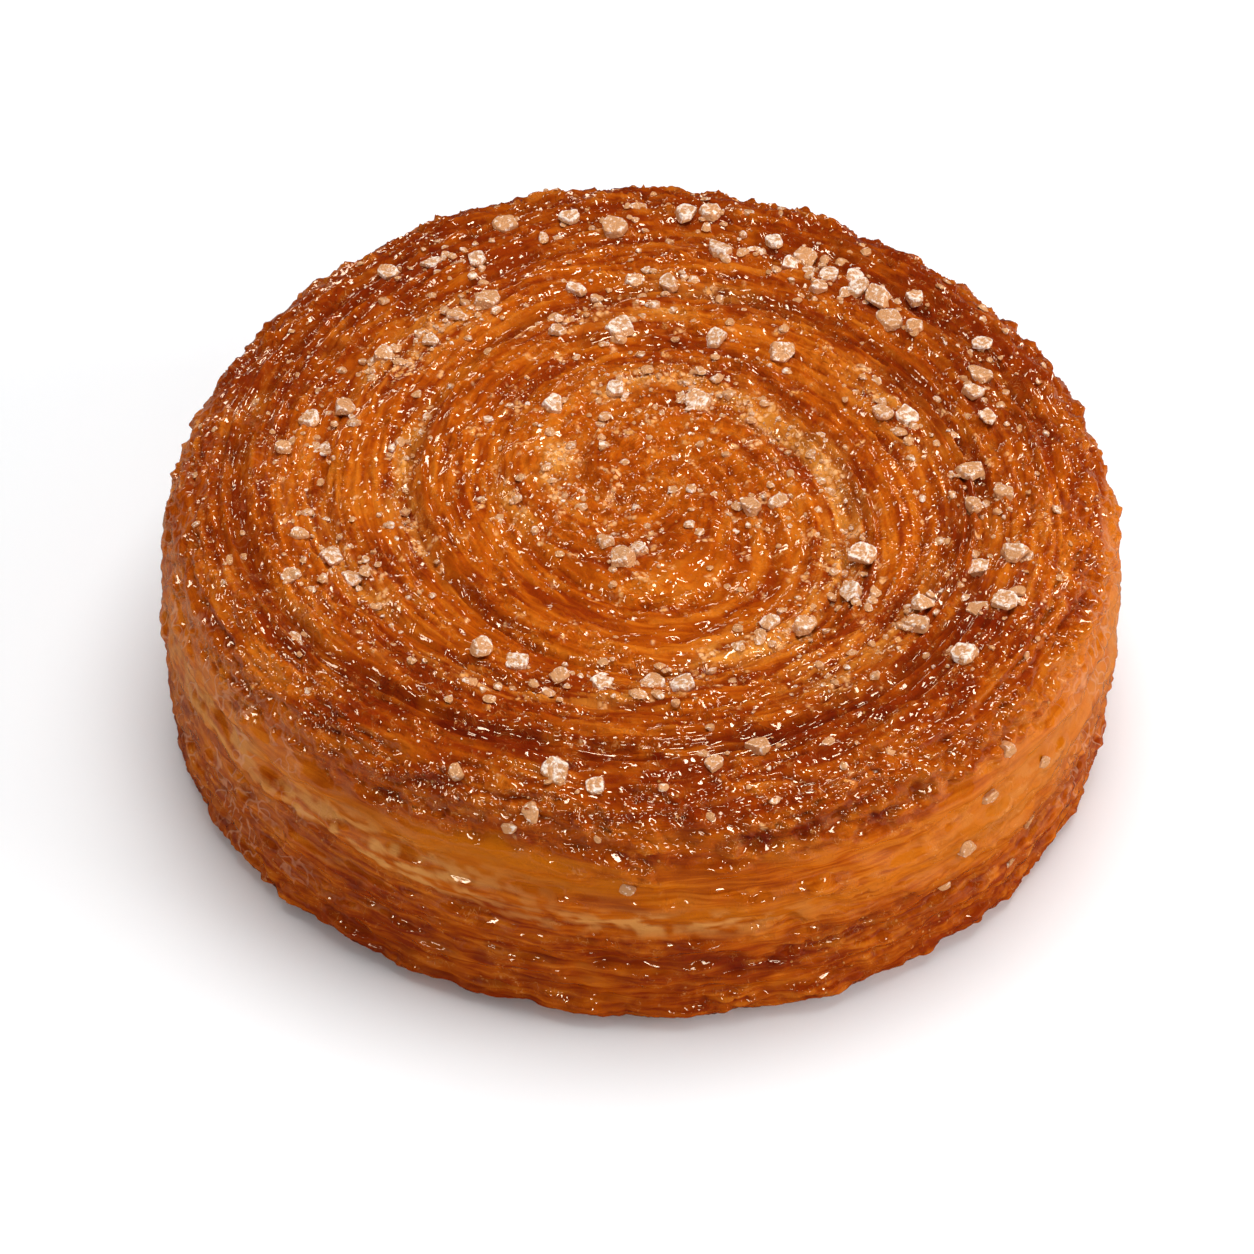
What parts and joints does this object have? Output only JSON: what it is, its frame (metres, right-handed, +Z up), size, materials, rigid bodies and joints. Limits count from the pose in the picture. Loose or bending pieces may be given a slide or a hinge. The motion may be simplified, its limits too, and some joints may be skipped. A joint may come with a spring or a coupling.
{
  "type": "kouign amann",
  "caption": "Round caramelised pastry of laminated dough rolled up as a spiral, with a glossy browned crust and coarse sugar crystals on top; lies flat on its underside.",
  "frame": {"origin": "middle of the flat underside, on the surface that the pastry rests on", "axes": "+Z up through the middle of the spiral, -Y towards the front"},
  "size_m": [0.1002, 0.1018, 0.0336],
  "materials": {
    "crust": "satin",
    "sugar": "satin"
  },
  "bodies": {
    "root": {"pastry": "crust"}
  },
  "joints": []
}
